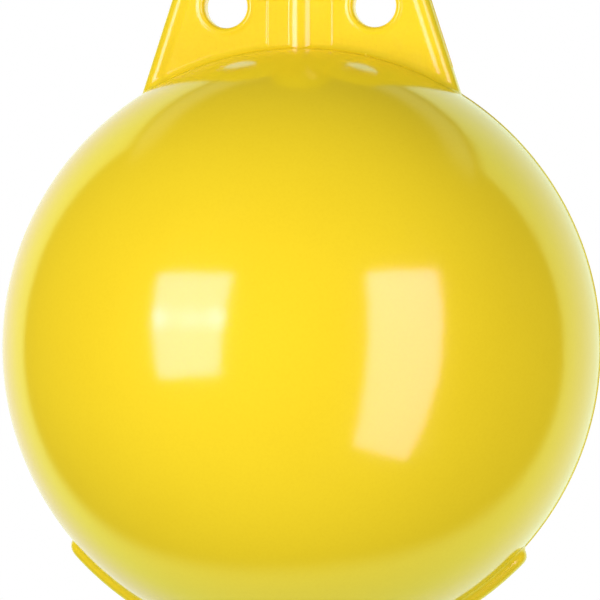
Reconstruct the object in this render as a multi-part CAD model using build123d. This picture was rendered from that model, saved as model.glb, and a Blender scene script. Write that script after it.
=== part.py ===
from build123d import *
import math
import os

# Round marker buoy, blow moulded in hard polyethylene, with a lug above and below.
# Lengths are in millimetres and angles in degrees. Z is up, X runs along the lugs,
# and Y is the way the mould opened. The origin is at the waterline, below the ball's centre.
# Lug heights are given for the upper lug, from the ball's centre. The lower lug is its mirror image.

# Ball
ball_radius = 150.0
ball_wall = 4.0
draught = 100.0  # depth of the ball in the water when it lies on its mooring
ridge_height = 0.5  # the line that the mould's parting leaves round the ball
ridge_width = 1.6
ridge_gap = 0.3  # from the ridge's ends to the lugs and seam beads

# Eyes for rope or shackle
eye_spacing = 75.0
eye_bore_radius = 10.6
eye_bore_round = 4.5
collar_height = 0.8  # proud of the web on both sides
collar_round = 1.3

# Lug: a trapezium with rounded shoulders, placed round the eyes
lug_lean = 17.9  # from the vertical
shoulder_radius = 20.0
web_thickness = 15.8
rim_depth = 17.0  # front to back
rim_round = 5.2  # radius of the rim's edges
rim_fillet = 8.0  # where the rim runs into the web
foot_fillet = 4.0  # where a lug runs into the ball
foot_height = 6.0  # how far the flared foot reaches up from the ball
eye_foot_gap = 2.1  # flat web between a collar and the foot
eye_rim_gap = 1.2  # between a collar and the side rim
eye_top_gap = 15.9  # between a collar and the top rim

# Blow channel up the middle of the upper lug
channel_height = 0.5  # proud of the web on both sides
channel_round = 1.2
rib_height = 1.6  # proud of the channel's face
rib_round = 9.4
rib_fillet = 2.0
pad_gap = 0.5  # between a collar and the pad, where the channel widens below the neck
pad_ledge = 3.0  # how much wider the pad is on each side
pad_height = 0.4  # proud of the channel's face
pad_rise = 2.6  # from the eyes' centres up to the pad

# Neck between the upper shoulders, and its plug
neck_radius = 25.0
neck_rise = 14.0  # from the eyes' centres up to the neck
neck_flare = 15.0  # height over which the neck widens
neck_proud = 23.0  # above the lug's top
neck_round = 3.0
mouth_radius = 15.0
mouth_depth = 14.0
plug_flange_radius = 18.5
plug_flange_height = 4.0
plug_round = 1.5

# Seam beads that the lower pinch-off leaves on the ball, either side of the lower lug
seam_proud = 5.3
foot_end_angle = 38.0  # where the lower lug's foot ends and a seam bead begins
seam_end_angles = {"left": 46.9, "right": 44.8}  # side: centre of the rounded end

quarter_turn = 90.0
touching = 0.001  # how close an edge lies to the ball to count as on it


def step_turn(drop, crest, valley):
    """How far a smooth step turns down, with a round crest and a round valley."""
    return math.degrees(math.acos(1 - drop / (crest + valley)))


def step_run(drop, crest, valley):
    """How far a smooth step reaches."""
    return (crest + valley) * math.sin(math.radians(step_turn(drop, crest, valley)))


# Worked out from the sizes above
ball_height = ball_radius - draught
centre = Pos(0, 0, ball_height)
half_web = web_thickness / 2
half_depth = rim_depth / 2
rim_drop = half_depth - half_web
rim_inner = rim_round + step_run(rim_drop, rim_round, rim_fillet)
collar_step = step_run(collar_height, collar_round, collar_round)
collar_radius = eye_bore_radius + eye_bore_round + collar_step
foot_reach = ball_radius + foot_height
eye_reach = foot_reach + eye_foot_gap + collar_radius
eye_height = math.sqrt(eye_reach**2 - (eye_spacing / 2) ** 2)
lean = math.radians(lug_lean)
eye_to_side = (collar_radius + eye_rim_gap + rim_inner) / math.cos(lean)
lug_half_width = eye_spacing / 2 + eye_to_side  # at the height of the eyes
lug_top = eye_height + collar_radius + eye_top_gap + rim_inner
neck_base = eye_height + neck_rise
neck_top = lug_top + neck_proud
pad_base = eye_height + pad_rise
pad_width = eye_spacing - 2 * (collar_radius + pad_gap)
channel_width = pad_width - 2 * pad_ledge
rib_crest = half_web + channel_height + rib_height
buried = 0.7 * ball_radius  # height where the lug's blank starts, well inside the ball
seam_path_radius = ball_radius + seam_proud - rim_round
span = 4 * ball_radius  # longer than the buoy, for cutting blocks


def half_width(height, inset):
    """Half the lug's width at a height, measured to a line inset from its outline."""
    return lug_half_width + (eye_height - height) * math.tan(lean) - inset / math.cos(lean)


def lug_line(inset):
    """The lug's outline, or a line inset from it, from its left foot over to its right foot."""
    top = lug_top - inset
    foot = half_width(buried, inset)
    shoulder = half_width(top, inset)
    points = [(-foot, 0, buried), (-shoulder, 0, top), (shoulder, 0, top), (foot, 0, buried)]
    return FilletPolyline(*points, radius=shoulder_radius - inset)


def lug_plate(inset, thickness):
    """A flat plate inside the line, as thick as asked, centred on the mould's parting plane."""
    line = lug_line(inset)
    face = Face(Wire([*line.edges(), Line(line @ 1, line @ 0)]))
    return extrude(face, amount=thickness / 2, dir=(0, 1, 0), both=True)


def round_ball(radius):
    """A ball whose poles face front and back and whose seam is on the left, clear of the lugs."""
    return Rot(quarter_turn, 0, 2 * quarter_turn) * Sphere(radius)


def cross_cylinder(radius, length, x=0.0, height=0.0):
    """A cylinder along Y."""
    return Pos(x, 0, height) * Rot(quarter_turn, 0, 0) * Cylinder(radius, length)


def step_down(u, v, drop, crest, valley):
    """Two arcs that lead from a level line down to a lower one, smoothly."""
    turn = step_turn(drop, crest, valley)
    end = u + step_run(drop, crest, valley)
    fall = CenterArc((u, v - crest), crest, quarter_turn, -turn)
    land = CenterArc((end, v - drop + valley), valley, -quarter_turn - turn, turn)
    return [fall, land]


def two_sided(lines):
    """The face between some lines and their mirror image below."""
    half = Curve() + lines
    return Face(Wire([*half.edges(), *mirror(half, about=Plane.XZ).edges()]))


def rim_edge():
    """The lines of the rim's outer edge, up to its crest."""
    start = half_depth - rim_round
    edge = CenterArc((rim_round, start), rim_round, 2 * quarter_turn, -quarter_turn)
    return [Line((0, 0), (0, start)), edge]


def lug_blank():
    """The web with its rim."""
    inward = step_down(rim_round, half_depth, rim_drop, rim_round, rim_fillet)
    section = two_sided([*rim_edge(), *inward, Line((rim_inner, half_web), (rim_inner, 0))])
    line = lug_line(0)
    along = line % 0
    across = Plane(origin=line @ 0, x_dir=Vector(0, 1, 0).cross(along), z_dir=along)
    return lug_plate(rim_round, web_thickness) + sweep(across * section, path=line)


def under_ball(radius, angle):
    """A point in the parting plane, at an angle from straight down towards the right."""
    turn = math.radians(angle)
    return Vector(radius * math.sin(turn), 0, -radius * math.cos(turn))


def rim_foot_angle(radius):
    """The angle at which the rim's middle line crosses a circle round the ball's centre."""
    slope = math.tan(lean)
    reach = half_width(0, rim_round)
    square = 1 + slope**2
    height = (reach * slope + math.sqrt(square * radius**2 - reach**2)) / square
    return math.degrees(math.atan2(reach - height * slope, height))


def seam_bead(side):
    """One seam bead, from inside the rim's foot to its rounded end."""
    end = seam_end_angles[side]
    start = rim_foot_angle(seam_path_radius)
    section = SlotOverall(rim_depth, 2 * rim_round)
    front_half = section & Pos(half_depth, 0) * Rectangle(rim_depth, rim_depth)
    run = revolve(cross_plane(seam_path_radius, start) * section, Axis.Y, start - end)
    upright = Axis(under_ball(seam_path_radius, end), under_ball(1, end))
    bead = run + revolve(cross_plane(seam_path_radius, end) * front_half, upright, 2 * quarter_turn)
    return mirror(bead, about=Plane.YZ) if side == "left" else bead


def cross_plane(radius, angle):
    """The plane across a line that runs round the ball, with its x axis along Y."""
    return Plane(under_ball(radius, angle), (0, 1, 0), under_ball(1, angle + quarter_turn))


def faired(blank):
    """The blank faired into the ball with a fillet, and the ball taken away again."""
    whole = round_ball(ball_radius) + blank
    samples = (0.1, 0.35, 0.6, 0.9)
    joints = [
        edge
        for edge in whole.edges()
        if all(abs((edge @ u).length - ball_radius) < touching for u in samples)
        and (edge @ 0.5).Z * blank.center().Z > touching
    ]
    return fillet(joints, foot_fillet) - round_ball(ball_radius)


def lug_nodes(lug):
    """A faired lug's foot, web and rim, with its eyes cut out."""
    sign = math.copysign(1, lug.center().Z)
    inner = lug_plate(rim_inner, rim_depth)
    foot = lug & round_ball(foot_reach)
    rest = lug - round_ball(foot_reach)
    for x in (-eye_spacing / 2, eye_spacing / 2):
        rest -= cross_cylinder(collar_radius, rim_depth, x, sign * eye_height)
    if sign < 0:
        inner = upside_down(inner)
    return foot, rest & inner, rest - inner


def collar(x):
    """The thick ring round one eye, flush with the web at its outer edge."""
    crest = eye_bore_radius + eye_bore_round
    face = half_web + collar_height
    lines = [
        Line((eye_bore_radius, 0), (eye_bore_radius, face - eye_bore_round)),
        CenterArc((crest, face - eye_bore_round), eye_bore_round, 2 * quarter_turn, -quarter_turn),
        *step_down(crest, face, collar_height, collar_round, collar_round),
        Line((collar_radius, half_web), (collar_radius, 0)),
    ]
    ring = revolve(Plane.XY * two_sided(lines), Axis.Y)
    return Pos(x, 0, eye_height) * ring


def beyond_foot(side):
    """A block holding what lies on one side of the ball, further up than the lower lug's foot."""
    level = Plane((0, 0, 0), z_dir=under_ball(1, foot_end_angle + quarter_turn))
    block = level * Pos(0, 0, span / 2) * Box(span, span, span)
    return mirror(block, about=Plane.YZ) if side == "left" else block


def channel_section():
    """The blow channel with its ribs, cut level: one quarter's lines and their mirror images."""
    panel = half_web + channel_height
    rib_end = step_run(rib_height, rib_round, rib_fillet)
    side = channel_width / 2
    panel_end = side - step_run(channel_height, channel_round, channel_round)
    lines = [
        *step_down(0, rib_crest, rib_height, rib_round, rib_fillet),
        Line((rib_end, panel), (panel_end, panel)),
        *step_down(panel_end, panel, channel_height, channel_round, channel_round),
        Line((side, half_web), (side, 0)),
    ]
    right = Curve() + lines
    front = Curve() + [*right.edges(), *mirror(right, about=Plane.YZ).edges()]
    return Face(Wire([*front.edges(), *mirror(front, about=Plane.XZ).edges()]))


def blow_channel(foot):
    """The raised channel with its half-round ribs, from the foot up to the neck and its pad."""
    length = neck_base + neck_flare - buried
    run = extrude(Pos(0, 0, buried) * channel_section(), length, dir=(0, 0, 1))
    pad_depth = 2 * (half_web + channel_height + pad_height)
    pad_length = neck_base + neck_flare - pad_base
    pad = Pos(0, 0, pad_base + pad_length / 2) * Box(pad_width, pad_depth, pad_length)
    edges = pad.edges().filter_by(Axis.X).group_by(Axis.Z)[0]
    pad = fillet(edges, pad_height)
    return run + pad - round_ball(ball_radius) - foot - neck_body(span)


def neck_body(height):
    """The neck without its mouth, widening from the width of the ribs."""
    flare = Pos(0, 0, neck_base + neck_flare / 2) * Cone(rib_crest, neck_radius, neck_flare)
    return flare + Pos(0, 0, neck_base + neck_flare + height / 2) * Cylinder(neck_radius, height)


def neck():
    """The short round neck with its mouth."""
    body = neck_body(neck_top - neck_base - neck_flare)
    body = fillet(body.edges().filter_by(GeomType.CIRCLE).sort_by(Axis.Z)[-1], neck_round)
    return body - Pos(0, 0, neck_top - mouth_depth / 2) * Cylinder(mouth_radius, mouth_depth)


def neck_plug():
    """The plug that closes the neck."""
    stub = Pos(0, 0, neck_top - mouth_depth / 2) * Cylinder(mouth_radius, mouth_depth)
    flange = Cylinder(plug_flange_radius, plug_flange_height)
    flange = fillet(flange.edges().filter_by(GeomType.CIRCLE).sort_by(Axis.Z)[-1], plug_round)
    return stub + Pos(0, 0, neck_top + plug_flange_height / 2) * flange


def parting_ridge(side, bead, foot):
    """The ridge up one side of the ball, from the seam bead to the upper lug's foot."""
    gap = math.degrees(ridge_gap / ball_radius)
    start = math.degrees(math.acos(-bead.bounding_box().max.Z / ball_radius)) + gap
    end = math.degrees(math.acos(-foot.bounding_box().min.Z / ball_radius)) - gap
    section = cross_plane(ball_radius, start) * Rectangle(ridge_width, 2 * ridge_height)
    ridge = revolve(section, Axis.Y, start - end)
    return mirror(ridge, about=Plane.YZ) if side == "left" else ridge


def upside_down(shape):
    """The shape mirrored through the ball's level middle plane."""
    return mirror(shape, about=Plane.XY)


def build():
    nodes = {}
    foot, web, rim = lug_nodes(faired(lug_blank()))
    channel = blow_channel(foot)
    nodes["upper_foot"] = foot
    nodes["upper_channel"] = channel
    nodes["upper_web"] = web - channel - neck_body(span)
    nodes["upper_rim"] = rim - neck_body(span)
    nodes["neck"] = neck()
    nodes["neck_plug"] = neck_plug()

    beads = [seam_bead(side) for side in seam_end_angles]
    foot, nodes["lower_web"], nodes["lower_rim"] = lug_nodes(faired(upside_down(lug_blank()) + beads))
    ball = round_ball(ball_radius) - round_ball(ball_radius - ball_wall)
    for side in seam_end_angles:
        bead = foot & beyond_foot(side)
        foot -= beyond_foot(side)
        ball += parting_ridge(side, bead, nodes["upper_foot"])
        nodes[f"{side}_seam_bead"] = bead
    nodes["lower_foot"] = foot
    nodes["front_shell"] = ball & Pos(0, -span / 2, 0) * Box(span, span, span)
    nodes["rear_shell"] = mirror(nodes["front_shell"], about=Plane.XZ)

    for side, sign in (("left", -1), ("right", 1)):
        ring = collar(sign * eye_spacing / 2)
        nodes[f"upper_{side}_eye_collar"] = ring
        nodes[f"lower_{side}_eye_collar"] = upside_down(ring)
    return nodes


os.makedirs("parts", exist_ok=True)
for name, shape in build().items():
    export_step(centre * shape, f"parts/{name}.step")
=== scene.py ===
import math

import bpy
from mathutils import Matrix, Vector


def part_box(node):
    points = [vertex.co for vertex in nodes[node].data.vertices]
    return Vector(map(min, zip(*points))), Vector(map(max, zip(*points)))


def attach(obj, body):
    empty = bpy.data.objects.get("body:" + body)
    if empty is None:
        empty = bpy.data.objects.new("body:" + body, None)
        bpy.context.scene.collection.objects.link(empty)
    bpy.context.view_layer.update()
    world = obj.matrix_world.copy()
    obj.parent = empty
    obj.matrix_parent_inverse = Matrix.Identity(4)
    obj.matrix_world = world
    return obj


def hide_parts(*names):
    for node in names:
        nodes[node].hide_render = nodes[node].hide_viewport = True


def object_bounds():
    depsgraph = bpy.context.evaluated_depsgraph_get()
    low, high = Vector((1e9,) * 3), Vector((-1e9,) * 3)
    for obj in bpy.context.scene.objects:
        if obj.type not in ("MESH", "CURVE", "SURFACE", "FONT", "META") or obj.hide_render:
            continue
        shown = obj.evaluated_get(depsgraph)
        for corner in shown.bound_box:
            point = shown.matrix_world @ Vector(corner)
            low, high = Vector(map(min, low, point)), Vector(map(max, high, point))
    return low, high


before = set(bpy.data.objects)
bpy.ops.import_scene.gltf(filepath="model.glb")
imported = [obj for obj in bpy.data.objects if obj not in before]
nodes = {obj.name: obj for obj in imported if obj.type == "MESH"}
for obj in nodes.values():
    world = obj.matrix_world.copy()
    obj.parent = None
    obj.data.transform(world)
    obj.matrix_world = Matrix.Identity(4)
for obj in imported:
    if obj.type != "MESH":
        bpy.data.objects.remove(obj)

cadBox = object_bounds()
frontLow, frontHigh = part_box("front_shell")

# the ball's centre and radius come from its front shell, in metres
ball = {
    "radius": -frontLow.y,
    "centre": Vector((0, 0, (frontLow.z + frontHigh.z) / 2)),
}

camera = {
    "turn": 7.0,  # degrees round the buoy to its right
    "distance": 2.6,  # from the ball's centre
    "imageWidth": 600,
    "ballAt": (301.5, 347.2),  # the ball's centre in the image
    "ballRadius": 299.2,  # the ball's outline in the image
    "sensor": 36.0,
    "farthest": 50,
}

# places are right, up and towards the camera, from the ball's centre
leftBox = {
    "name": "left_softbox",
    "at": (-0.845, 0.175, 0.965),
    "size": (0.61, 0.81),
    "power": 11.7,
    "colour": (1.0, 0.93, 0.86),
    # round from its upper left
    "corners": ((-0.355, 0.385), (0.325, 0.44), (0.28, -0.395), (-0.285, -0.41)),
    "glow": 4.7,
    "glowColour": (0.95, 0.43, 1.0),
    "slope": 0.12,  # brighter towards its top, for each metre
    "rows": ((0.05, 0.11, 0.35),),  # height, half width and strength of its bright row of bulbs
    "bulbs": ((-0.28, 0.05, 0.8), (0.235, 0.07, 0.6), (0.01, 0.035, 0.25)),  # right, up and strength
}

rightBox = {
    "name": "right_softbox",
    "at": (0.78, -0.12, 1.03),
    "size": (0.66, 1.66),
    "power": 9.8,
    "colour": (1.0, 0.92, 0.80),
    "corners": ((-0.29, 0.82), (0.43, 0.80), (0.20, -0.84), (-0.345, -0.755)),
    "glow": 4.0,
    "glowColour": (1.0, 0.58, 0.96),
    "slope": 0.2,
    "rows": (),
    "bulbs": (),
}

bulbShape = {
    "radius": 0.14,  # of the glow round a bulb
    "rowMiddle": 0.01,  # half height of the brightest part of a row
}

# lamps behind the buoy, which the front view doesn't see
rearLamps = {
    "places": ((-0.34, 0.22, -1.25), (0.30, 0.16, -1.30)),
    "size": (0.5, 0.7),
    "power": 5.2,
    "colour": (1.0, 0.94, 0.84),
}

studio = {
    "room": (0.05, 0.066, 0.055),  # what the gloss shows in front of the buoy
    "fill": (0.30, 0.345, 0.28),  # soft light from all round
    "backdropRim": (0.95, 1.40, 0.50),  # the backdrop's colour at its edge
    "backdropLeft": (1.05, 1.02, 0.98),  # its colours inside the edge
    "backdropRight": (1.08, 1.27, 0.98),
    "backdropSides": (-0.50, 0.35),  # share of the direction to the right, where the two colours meet
    "backdropFade": (0.52, 0.95),  # share of the direction that points away, from the edge to the middle
    "backdropTurn": 6.8,  # degrees that the backdrop's middle lies to the right of straight behind
    "backdropEdge": (0.56, 0.625),  # cosines from there in plan, where it starts and where it is full
    "backdropTop": (0.665, 0.62),  # height of its upper edge, as a share of the direction
    "floorReach": 0.62,  # how much further forward the white floor comes
    "floorCurve": 2.2,  # how late it comes forward on the way down
    "floorFade": 0.14,  # how much softer its edge gets
    "leastPlan": 0.05,  # keeps the division by the plan's length safe
    "shown": (1.0, 1.0, 1.0),  # what the camera sees behind the buoy
    "ceiling": (0.44, 0.58, 0.36),  # a paler strip above the backdrop
    "ceilingLow": (0.66, 0.69),  # heights of its edges, as shares of the direction
    "ceilingHigh": (0.80, 0.74),
    "ceilingEdge": (0.20, 0.45),  # share of the direction that points away
    "discRadius": 1.15,
    "discSteps": 96,
    "discPaint": (0.55, 0.55, 0.55),  # takes the buoy's shade
    "discGlow": 0.68,  # lifts it to white
    "discFade": (0.55, 1.1),  # where the floor starts to fade into the white, and where it ends
    "discGap": 0.004,  # under the lower lug
}

# the ball is one moulding, with a fine ridge where the mould halves met
ballShape = {
    "steps": 256,
    "rings": 128,
    "ridgeHeight": 0.00047,
    "ridgeWidth": 0.0016,
    "ridgeFaces": 4,
    "ridgeTop": 0.35,  # share of the width that is lifted, each way from the middle
    "onSeam": 0.00001,  # points this near to the middle plane lie on the seam
}

# radius and height above the middle plane, in metres, from the opening outwards
eyeRing = {
    "profile": (
        (0.0106, 0.0040),
        (0.0107, 0.0052),
        (0.01095, 0.0063),
        (0.0114, 0.0073),
        (0.01195, 0.00795),
        (0.0126, 0.0083),
        (0.0132, 0.00836),
        (0.0138, 0.00822),
        (0.0143, 0.00802),
        (0.0149, 0.00792),
        (0.0157, 0.0079),
    ),
    "steps": 96,
    "sameSpot": 0.000005,  # points nearer than this are one
    "smooth": 50,  # the sharpest edge that is shaded smooth, in degrees
}

# the mould's parting line goes on over the lugs' edges, heights from the ball's centre
partingLine = {
    "lean": 17.9,  # of the lug's sides, in degrees from upright
    "widthAtEyes": 0.06620,  # half the lug's width at the height of the eyes
    "eyes": 0.17101,
    "top": 0.21302,
    "shoulder": 0.020,
    "foot": 0.140,  # where it starts, inside the ball
    "thickness": 0.0011,
    "sunk": 0.00020,  # how far its middle lies inside the edge
    "turns": {"upper": 72.1, "lower": 50.0},  # how far it follows the shoulder, in degrees
    "steps": 12,
    "runOut": 12,  # degrees over which the lower one sinks into the shoulder
    "topEnd": 0.020,  # where the upper one ends, inside the neck
    "roundness": 2,
    "smooth": 60,
}

# what all the plastics share
surface = {
    "cloudDetail": 3.0,
    "cloudEdges": (0.38, 0.72),
    "cloudShare": 0.16,
    "grainDetail": 2.0,
    "grainEdges": (0.35, 0.75),
    "grainShare": 0.20,
    "rubbedSize": 2.3,  # times the clouds'
    "rubbedDetail": 5.0,
    "rubbedEdges": (0.56, 0.74),
    "streakScale": (1.0, 1.0, 0.06),  # drawn out along one way
    "streakTurn": (0.35, 0.6, 0.2),
    "streakSize": 0.6,  # times the grain's
    "streakDetail": 2.0,
    "streakEdges": (0.62, 0.74),
    "streakShare": 0.6,
    "peelDetail": 2.0,
    "fineDetail": 1.0,
    "fineShare": 0.06,
    "peelDepth": 0.001,
}

ballFinish = {
    "name": "ballYellow",
    "colour": (0.93, 0.68, 0.021),
    "deepColour": (0.86, 0.60, 0.014),
    "cloudSize": 14.0,
    "grainSize": 700.0,
    "roughness": 0.125,
    "scuff": 0.10,
    "peelSize": 95.0,
    "bump": 0.05,
    "gloss": 0.8,
}

lugFinish = {
    "name": "lugYellow",
    "colour": (0.95, 0.715, 0.022),
    "deepColour": (0.88, 0.60, 0.016),
    "cloudSize": 34.0,
    "grainSize": 600.0,
    "roughness": 0.20,
    "scuff": 0.14,
    "peelSize": 160.0,
    "bump": 0.09,
    "gloss": 0.8,
}

plugFinish = {
    "name": "plugYellow",
    "colour": (0.93, 0.68, 0.03),
    "deepColour": (0.84, 0.57, 0.02),
    "cloudSize": 60.0,
    "grainSize": 900.0,
    "roughness": 0.30,
    "scuff": 0.20,
    "peelSize": 260.0,
    "bump": 0.12,
    "gloss": 0.6,
}


def studioPoint(place):
    # a place given as right, up and towards the camera, from the ball's centre
    turn = math.radians(camera["turn"])
    right = Vector((math.cos(turn), math.sin(turn), 0))
    towards = Vector((math.sin(turn), -math.cos(turn), 0))
    return ball["centre"] + right * place[0] + Vector((0, 0, place[1])) + towards * place[2]


def makeCamera():
    reach = math.sqrt(camera["distance"] ** 2 - ball["radius"] ** 2)
    pixelLength = camera["ballRadius"] * reach / ball["radius"]  # focal length in image pixels
    metresPerPixel = camera["distance"] / pixelLength
    half = camera["imageWidth"] / 2
    aside = (half - camera["ballAt"][0]) * metresPerPixel
    above = (camera["ballAt"][1] - half) * metresPerPixel
    data = bpy.data.cameras.new("photoCamera")
    data.sensor_width = camera["sensor"]
    data.lens = camera["sensor"] * pixelLength / camera["imageWidth"]
    data.clip_end = camera["farthest"]
    photoCamera = bpy.data.objects.new("photoCamera", data)
    bpy.context.scene.collection.objects.link(photoCamera)
    photoCamera.location = studioPoint((aside, above, camera["distance"]))
    photoCamera.rotation_euler = (math.radians(90), 0, math.radians(camera["turn"]))
    bpy.context.scene.camera = photoCamera


def link(tree, source, target):
    tree.links.new(source, target)


def addMath(tree, operation, *values):
    # a math node, fed with numbers and sockets in turn
    node = tree.nodes.new("ShaderNodeMath")
    node.operation = operation
    for slot, value in zip(node.inputs, values):
        if isinstance(value, (int, float)):
            slot.default_value = value
        else:
            link(tree, value, slot)
    return node.outputs["Value"]


def addBackground(tree, colour):
    node = tree.nodes.new("ShaderNodeBackground")
    if isinstance(colour, tuple):
        node.inputs["Color"].default_value = (*colour, 1)
    else:
        link(tree, colour, node.inputs["Color"])
    return node.outputs["Background"]


def addChoice(tree, factor, first, second):
    node = tree.nodes.new("ShaderNodeMixShader")
    link(tree, factor, node.inputs["Fac"])
    link(tree, first, node.inputs[1])
    link(tree, second, node.inputs[2])
    return node.outputs["Shader"]


def addBlend(tree, factor, first, second):
    # mixes two colours, each given as numbers or as a socket; the node's colour sockets go by number
    node = tree.nodes.new("ShaderNodeMix")
    node.data_type = "RGBA"
    link(tree, factor, node.inputs["Factor"])
    for slot, colour in ((node.inputs[6], first), (node.inputs[7], second)):
        if isinstance(colour, tuple):
            slot.default_value = (*colour, 1)
        else:
            link(tree, colour, slot)
    return node.outputs[2]


def addRamp(tree, value, edges):
    # rises smoothly from 0 at the first edge to 1 at the second, or falls where the first is the higher
    node = tree.nodes.new("ShaderNodeMapRange")
    node.interpolation_type = "SMOOTHSTEP"
    node.inputs["From Min"].default_value, node.inputs["From Max"].default_value = sorted(edges)
    if edges[0] > edges[1]:
        node.inputs["To Min"].default_value, node.inputs["To Max"].default_value = (1.0, 0.0)
    link(tree, value, node.inputs["Value"])
    return node.outputs["Result"]


def addDistance(tree, vector, place):
    node = tree.nodes.new("ShaderNodeVectorMath")
    node.operation = "DISTANCE"
    link(tree, vector, node.inputs[0])
    node.inputs[1].default_value = place
    return node.outputs["Value"]


def facePlace(item, place):
    item.location = studioPoint(place)
    item.rotation_euler = (ball["centre"] - item.location).to_track_quat("-Z", "Y").to_euler()


def selectWhere(item, test):
    # in edit mode, selects the points whose places pass the test
    bpy.ops.object.mode_set(mode="EDIT")
    bpy.ops.mesh.select_mode(type="VERT")
    bpy.ops.mesh.select_all(action="DESELECT")
    bpy.ops.object.mode_set(mode="OBJECT")
    for point in item.data.vertices:
        point.select = test(point.co)
    bpy.ops.object.mode_set(mode="EDIT")


def addLamp(name, size, power, colour, place):
    data = bpy.data.lights.new(name, "AREA")
    data.shape = "RECTANGLE"
    data.size, data.size_y = size
    data.energy = power
    data.color = colour
    lamp = bpy.data.objects.new(name, data)
    bpy.context.scene.collection.objects.link(lamp)
    facePlace(lamp, place)
    lamp.visible_camera = False
    lamp.visible_glossy = False


def makeSoftbox(box):
    # a lamp gives the light, and a panel in the same place gives the reflection in the gloss
    addLamp(box["name"], box["size"], box["power"], box["colour"], box["at"])
    bpy.ops.object.select_all(action="DESELECT")
    bpy.ops.mesh.primitive_plane_add(size=1)
    panel = bpy.context.object
    panel.name = box["name"] + "_panel"
    for (x, y), (right, up) in zip(box["corners"], ((-1, 1), (1, 1), (1, -1), (-1, -1))):
        selectWhere(panel, lambda at: at.x * right > 0 and at.y * up > 0)
        bpy.ops.transform.translate(value=(x - right * 0.5, y - up * 0.5, 0))
    bpy.ops.object.mode_set(mode="OBJECT")
    facePlace(panel, box["at"])
    panel.visible_camera = False
    panel.visible_diffuse = False
    panel.visible_shadow = False
    panel.visible_transmission = False
    material = bpy.data.materials.new(box["name"] + "Cloth")
    material.use_nodes = True
    tree = material.node_tree
    tree.nodes.clear()
    place = tree.nodes.new("ShaderNodeTexCoord")
    parts = tree.nodes.new("ShaderNodeSeparateXYZ")
    link(tree, place.outputs["Object"], parts.inputs["Vector"])
    glow = addMath(tree, "MULTIPLY_ADD", parts.outputs["Y"], box["slope"], 1.0)
    for height, width, strength in box["rows"]:
        away = addMath(tree, "ABSOLUTE", addMath(tree, "SUBTRACT", parts.outputs["Y"], height))
        band = addRamp(tree, away, (width, bulbShape["rowMiddle"]))
        glow = addMath(tree, "MULTIPLY_ADD", band, strength, glow)
    for x, y, strength in box["bulbs"]:
        away = addDistance(tree, place.outputs["Object"], (x, y, 0))
        spot = addRamp(tree, away, (bulbShape["radius"], 0.0))
        glow = addMath(tree, "MULTIPLY_ADD", spot, strength, glow)
    emission = tree.nodes.new("ShaderNodeEmission")
    emission.inputs["Color"].default_value = (*box["glowColour"], 1)
    link(tree, addMath(tree, "MULTIPLY", glow, box["glow"]), emission.inputs["Strength"])
    output = tree.nodes.new("ShaderNodeOutputMaterial")
    link(tree, emission.outputs["Emission"], output.inputs["Surface"])
    panel.data.materials.append(material)


def makeWorld():
    world = bpy.data.worlds.new("studioWorld")
    bpy.context.scene.world = world
    world.use_nodes = True
    tree = world.node_tree
    tree.nodes.clear()
    place = tree.nodes.new("ShaderNodeTexCoord")
    parts = tree.nodes.new("ShaderNodeSeparateXYZ")
    link(tree, place.outputs["Generated"], parts.inputs["Vector"])
    height = parts.outputs["Z"]
    turn = math.radians(camera["turn"] - studio["backdropTurn"])
    sideways = addMath(tree, "MULTIPLY", parts.outputs["X"], -math.sin(turn))
    behind = addMath(tree, "MULTIPLY_ADD", parts.outputs["Y"], math.cos(turn), sideways)

    # a white backdrop behind the buoy with upright edges, running forward into the floor under it
    down = addMath(tree, "MAXIMUM", addMath(tree, "MULTIPLY", height, -1.0), 0.0)
    up = addMath(tree, "MAXIMUM", height, 0.0)
    plan = addMath(tree, "SQRT", addMath(tree, "SUBTRACT", 1.0, addMath(tree, "MULTIPLY", up, up)))
    aside = addMath(tree, "DIVIDE", behind, addMath(tree, "MAXIMUM", plan, studio["leastPlan"]))
    forward = addMath(tree, "POWER", down, studio["floorCurve"])
    reach = addMath(tree, "MULTIPLY_ADD", forward, studio["floorReach"], aside)
    edge = tree.nodes.new("ShaderNodeMapRange")
    edge.interpolation_type = "SMOOTHSTEP"
    edge.inputs["From Min"].default_value = studio["backdropEdge"][0]
    full = addMath(tree, "MULTIPLY_ADD", down, studio["floorFade"], studio["backdropEdge"][1])
    link(tree, full, edge.inputs["From Max"])
    link(tree, reach, edge.inputs["Value"])
    below = addRamp(tree, height, studio["backdropTop"])
    white = addMath(tree, "MULTIPLY", edge.outputs["Result"], below)
    inner = addRamp(tree, behind, studio["backdropFade"])
    facing = math.radians(camera["turn"])
    rightward = addMath(tree, "MULTIPLY", parts.outputs["Y"], math.sin(facing))
    rightward = addMath(tree, "MULTIPLY_ADD", parts.outputs["X"], math.cos(facing), rightward)
    middle = addRamp(tree, rightward, studio["backdropSides"])
    middle = addBlend(tree, middle, studio["backdropLeft"], studio["backdropRight"])
    cloth = addBlend(tree, inner, studio["backdropRim"], middle)
    mirrored = addChoice(tree, white, addBackground(tree, studio["room"]), addBackground(tree, cloth))

    # the strip of ceiling above it
    strip = addMath(
        tree,
        "MULTIPLY",
        addRamp(tree, height, studio["ceilingLow"]),
        addRamp(tree, height, studio["ceilingHigh"]),
    )
    strip = addMath(tree, "MULTIPLY", strip, addRamp(tree, behind, studio["ceilingEdge"]))
    mirrored = addChoice(tree, strip, mirrored, addBackground(tree, studio["ceiling"]))

    rays = tree.nodes.new("ShaderNodeLightPath")
    seen = addMath(tree, "MAXIMUM", rays.outputs["Is Camera Ray"], rays.outputs["Is Transmission Ray"])
    lit = addChoice(tree, rays.outputs["Is Diffuse Ray"], mirrored, addBackground(tree, studio["fill"]))
    shown = addChoice(tree, seen, lit, addBackground(tree, studio["shown"]))
    output = tree.nodes.new("ShaderNodeOutputWorld")
    link(tree, shown, output.inputs["Surface"])


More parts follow.
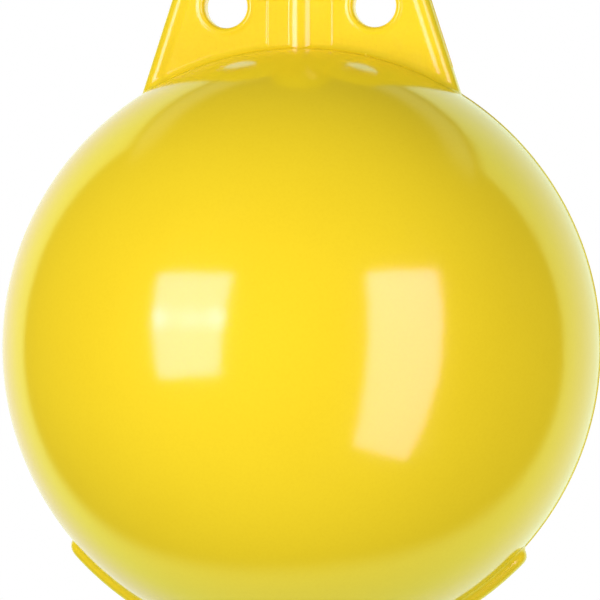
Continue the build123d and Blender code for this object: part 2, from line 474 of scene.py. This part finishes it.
def makeFloor():
    bpy.ops.object.select_all(action="DESELECT")
    height = cadBox[0].z - studio["discGap"]
    bpy.ops.mesh.primitive_circle_add(
        vertices=studio["discSteps"], radius=studio["discRadius"], fill_type="NGON", location=(0, 0, height)
    )
    floor = bpy.context.object
    floor.name = "studio_floor"
    floor.visible_glossy = False
    floor.visible_diffuse = False
    floor.visible_shadow = False
    material = bpy.data.materials.new("floorWhite")
    material.use_nodes = True
    tree = material.node_tree
    tree.nodes.clear()
    place = tree.nodes.new("ShaderNodeTexCoord")
    fade = addRamp(tree, addDistance(tree, place.outputs["Object"], (0, 0, 0)), studio["discFade"])
    paint = tree.nodes.new("ShaderNodeBsdfDiffuse")
    paint.inputs["Color"].default_value = (*studio["discPaint"], 1)
    glow = tree.nodes.new("ShaderNodeEmission")
    glow.inputs["Strength"].default_value = studio["discGlow"]
    both = tree.nodes.new("ShaderNodeAddShader")
    link(tree, paint.outputs["BSDF"], both.inputs[0])
    link(tree, glow.outputs["Emission"], both.inputs[1])
    white = tree.nodes.new("ShaderNodeEmission")
    shown = addChoice(tree, fade, both.outputs["Shader"], white.outputs["Emission"])
    output = tree.nodes.new("ShaderNodeOutputMaterial")
    link(tree, shown, output.inputs["Surface"])
    floor.data.materials.append(material)


def addNoise(tree, place, size, detail):
    node = tree.nodes.new("ShaderNodeTexNoise")
    link(tree, place, node.inputs["Vector"])
    link(tree, size, node.inputs["Scale"])
    node.inputs["Detail"].default_value = detail
    return node.outputs["Fac"]


def makeSurfaceGroup():
    # moulded plastic: slow clouds and fine grain in the colour, dull rubbed patches, and orange peel
    group = bpy.data.node_groups.new("mouldedSurface", "ShaderNodeTree")
    for name, kind in (
        ("Colour", "NodeSocketColor"),
        ("Deep Colour", "NodeSocketColor"),
        ("Cloud Size", "NodeSocketFloat"),
        ("Grain Size", "NodeSocketFloat"),
        ("Polish", "NodeSocketFloat"),
        ("Scuff", "NodeSocketFloat"),
        ("Peel Size", "NodeSocketFloat"),
    ):
        group.interface.new_socket(name=name, in_out="INPUT", socket_type=kind)
    for name, kind in (
        ("Colour", "NodeSocketColor"),
        ("Roughness", "NodeSocketFloat"),
        ("Height", "NodeSocketFloat"),
    ):
        group.interface.new_socket(name=name, in_out="OUTPUT", socket_type=kind)
    given = group.nodes.new("NodeGroupInput").outputs
    result = group.nodes.new("NodeGroupOutput").inputs
    place = group.nodes.new("ShaderNodeTexCoord").outputs["Object"]

    clouds = addNoise(group, place, given["Cloud Size"], surface["cloudDetail"])
    clouds = addRamp(group, clouds, surface["cloudEdges"])
    grain = addNoise(group, place, given["Grain Size"], surface["grainDetail"])
    grain = addRamp(group, grain, surface["grainEdges"])
    depth = addMath(group, "MULTIPLY", grain, surface["grainShare"])
    depth = addMath(group, "MULTIPLY_ADD", clouds, surface["cloudShare"], depth)
    link(group, addBlend(group, depth, given["Colour"], given["Deep Colour"]), result["Colour"])

    rubbedSize = addMath(group, "MULTIPLY", given["Cloud Size"], surface["rubbedSize"])
    rubbed = addNoise(group, place, rubbedSize, surface["rubbedDetail"])
    rubbed = addRamp(group, rubbed, surface["rubbedEdges"])
    drawnOut = group.nodes.new("ShaderNodeMapping")
    drawnOut.inputs["Scale"].default_value = surface["streakScale"]
    drawnOut.inputs["Rotation"].default_value = surface["streakTurn"]
    link(group, place, drawnOut.inputs["Vector"])
    streakSize = addMath(group, "MULTIPLY", given["Grain Size"], surface["streakSize"])
    streaks = addNoise(group, drawnOut.outputs["Vector"], streakSize, surface["streakDetail"])
    streaks = addRamp(group, streaks, surface["streakEdges"])
    share = surface["streakShare"]
    worn = addMath(group, "MULTIPLY", rubbed, addMath(group, "MULTIPLY_ADD", streaks, share, 1 - share))
    link(group, addMath(group, "MULTIPLY_ADD", worn, given["Scuff"], given["Polish"]), result["Roughness"])

    peel = addNoise(group, place, given["Peel Size"], surface["peelDetail"])
    fine = addNoise(group, place, given["Grain Size"], surface["fineDetail"])
    link(group, addMath(group, "MULTIPLY_ADD", fine, surface["fineShare"], peel), result["Height"])
    return group


def makePlastic(finish, group):
    material = bpy.data.materials.new(finish["name"])
    material.use_nodes = True
    tree = material.node_tree
    shader = tree.nodes["Principled BSDF"]
    look = tree.nodes.new("ShaderNodeGroup")
    look.node_tree = group
    look.inputs["Colour"].default_value = (*finish["colour"], 1)
    look.inputs["Deep Colour"].default_value = (*finish["deepColour"], 1)
    look.inputs["Cloud Size"].default_value = finish["cloudSize"]
    look.inputs["Grain Size"].default_value = finish["grainSize"]
    look.inputs["Polish"].default_value = finish["roughness"]
    look.inputs["Scuff"].default_value = finish["scuff"]
    look.inputs["Peel Size"].default_value = finish["peelSize"]
    link(tree, look.outputs["Colour"], shader.inputs["Base Color"])
    link(tree, look.outputs["Roughness"], shader.inputs["Roughness"])
    bump = tree.nodes.new("ShaderNodeBump")
    bump.inputs["Strength"].default_value = finish["bump"]
    bump.inputs["Distance"].default_value = surface["peelDepth"]
    link(tree, look.outputs["Height"], bump.inputs["Height"])
    link(tree, bump.outputs["Normal"], shader.inputs["Normal"])
    shader.inputs["Specular IOR Level"].default_value = finish["gloss"]
    return material


def dress(item, material):
    item.data.materials.clear()
    item.data.materials.append(material)


def modelBall(material):
    bpy.ops.object.select_all(action="DESELECT")
    bpy.ops.mesh.primitive_uv_sphere_add(
        segments=ballShape["steps"],
        ring_count=ballShape["rings"],
        radius=ball["radius"],
        location=ball["centre"],
        rotation=(math.radians(90), 0, 0),
    )
    skin = bpy.context.object
    skin.name = "moulded_ball"
    bpy.ops.object.transform_apply(location=True, rotation=True, scale=True)
    # the ridge runs round the ball where y is 0
    selectWhere(skin, lambda at: abs(at.y) < ballShape["onSeam"])
    bpy.ops.mesh.bevel(offset=ballShape["ridgeWidth"] / 2, segments=ballShape["ridgeFaces"], affect="EDGES")
    selectWhere(skin, lambda at: abs(at.y) < ballShape["ridgeWidth"] * ballShape["ridgeTop"])
    grow = 1 + ballShape["ridgeHeight"] / ball["radius"]
    bpy.ops.transform.resize(value=(grow, 1, grow), center_override=ball["centre"])
    bpy.ops.object.mode_set(mode="OBJECT")
    bpy.ops.object.shade_smooth()
    dress(skin, material)
    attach(skin, "root")
    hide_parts("front_shell", "rear_shell")


def drawLine(name, points):
    # a line drawn from a single point by extruding it, left in edit mode
    bpy.ops.object.select_all(action="DESELECT")
    bpy.ops.mesh.primitive_plane_add(size=0.001)
    line = bpy.context.object
    line.name = name
    bpy.ops.object.mode_set(mode="EDIT")
    bpy.ops.mesh.merge(type="CENTER")
    bpy.ops.transform.translate(value=points[0])
    for start, end in zip(points, points[1:]):
        bpy.ops.mesh.extrude_region_move(TRANSFORM_OT_translate={"value": Vector(end) - Vector(start)})
    return line


def partingPoints(level):
    # the right side of a lug's edge, from inside the ball to the end of the line
    lean = math.radians(partingLine["lean"])
    inset = partingLine["sunk"]
    top = partingLine["top"] - inset
    radius = partingLine["shoulder"] - inset

    def side(height):
        below = partingLine["eyes"] - height
        return partingLine["widthAtEyes"] + below * math.tan(lean) - inset / math.cos(lean)

    # the shoulder's arc touches the leaning side and the level top
    centreX = side(top - radius) - radius / math.cos(lean)

    def onShoulder(turn, reach):
        return (centreX + reach * math.cos(turn), top - radius + reach * math.sin(turn))

    points = [(side(partingLine["foot"]), partingLine["foot"])]
    for step in range(partingLine["steps"] + 1):
        turn = lean + math.radians(partingLine["turns"][level]) * step / partingLine["steps"]
        points.append(onShoulder(turn, radius))
    if level == "upper":
        points.append((partingLine["topEnd"], top))
    else:
        turn += math.radians(partingLine["runOut"])
        points.append(onShoulder(turn, radius - partingLine["thickness"]))
    return points


def modelPartingLines(material):
    for level, up in (("upper", 1), ("lower", -1)):
        points = partingPoints(level)
        for edge, right in (("left", -1), ("right", 1)):
            path = [(x * right, 0, ball["centre"].z + z * up) for x, z in points]
            drawLine(level + "_" + edge + "_parting_line", path)
            bpy.ops.object.mode_set(mode="OBJECT")
            bpy.ops.object.convert(target="CURVE")
            curve = bpy.context.object.data
            curve.bevel_depth = partingLine["thickness"] / 2
            curve.bevel_resolution = partingLine["roundness"]
            curve.use_fill_caps = True
            bpy.ops.object.convert(target="MESH")
            bpy.ops.object.shade_smooth_by_angle(angle=math.radians(partingLine["smooth"]))
            line = bpy.context.object
            dress(line, material)
            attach(line, "root")


def spinRing(name, outer):
    # its profile drawn from a single point and spun round the eye
    half = list(eyeRing["profile"]) + [(outer, eyeRing["profile"][-1][1])]
    loop = half + [(radius, -height) for radius, height in reversed(half)] + [half[0]]
    ring = drawLine(name, [(radius, height, 0) for radius, height in loop])
    bpy.ops.mesh.select_all(action="SELECT")
    bpy.ops.mesh.spin(steps=eyeRing["steps"], angle=math.radians(360), center=(0, 0, 0), axis=(0, 1, 0))
    bpy.ops.mesh.select_all(action="SELECT")
    bpy.ops.mesh.remove_doubles(threshold=eyeRing["sameSpot"])
    bpy.ops.mesh.normals_make_consistent(inside=False)
    bpy.ops.object.mode_set(mode="OBJECT")
    return ring


def modelEyeRings(material):
    # the first is modelled, and each of the others is a copy of the one before
    ring, lastMiddle = None, None
    for name in ("upper_left", "upper_right", "lower_left", "lower_right"):
        node = name + "_eye_collar"
        low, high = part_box(node)
        middle = Vector(((low.x + high.x) / 2, 0, (low.z + high.z) / 2))
        if ring is None:
            ring = spinRing(name + "_eye_ring", (high.x - low.x) / 2)
            ring.location = middle
        else:
            bpy.ops.object.select_all(action="DESELECT")
            ring.select_set(True)
            bpy.context.view_layer.objects.active = ring
            bpy.ops.object.duplicate(linked=False)
            ring = bpy.context.object
            ring.name = name + "_eye_ring"
            ring.location = middle - lastMiddle  # its points already lie round the last eye
        lastMiddle = middle
        bpy.ops.object.transform_apply(location=True, rotation=False, scale=False)
        bpy.ops.object.shade_smooth_by_angle(angle=math.radians(eyeRing["smooth"]))
        dress(ring, material)
        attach(ring, "root")
        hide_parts(node)


makeCamera()
print("camera in place")
for box in (leftBox, rightBox):
    makeSoftbox(box)
for number, place in enumerate(rearLamps["places"]):
    addLamp("rear_lamp_" + str(number), rearLamps["size"], rearLamps["power"], rearLamps["colour"], place)
makeWorld()
makeFloor()
bpy.context.scene.view_settings.view_transform = "Standard"
print("studio lit")

surfaceGroup = makeSurfaceGroup()
ballPlastic = makePlastic(ballFinish, surfaceGroup)
lugPlastic = makePlastic(lugFinish, surfaceGroup)
plugPlastic = makePlastic(plugFinish, surfaceGroup)
for name in nodes:
    if name in ("front_shell", "rear_shell"):
        dress(nodes[name], ballPlastic)
    elif name == "neck_plug":
        dress(nodes[name], plugPlastic)
    else:
        dress(nodes[name], lugPlastic)
print("finishes on")
modelBall(ballPlastic)
print("ball modelled")
modelEyeRings(lugPlastic)
print("eye rings modelled")
modelPartingLines(lugPlastic)
print("parting lines modelled")
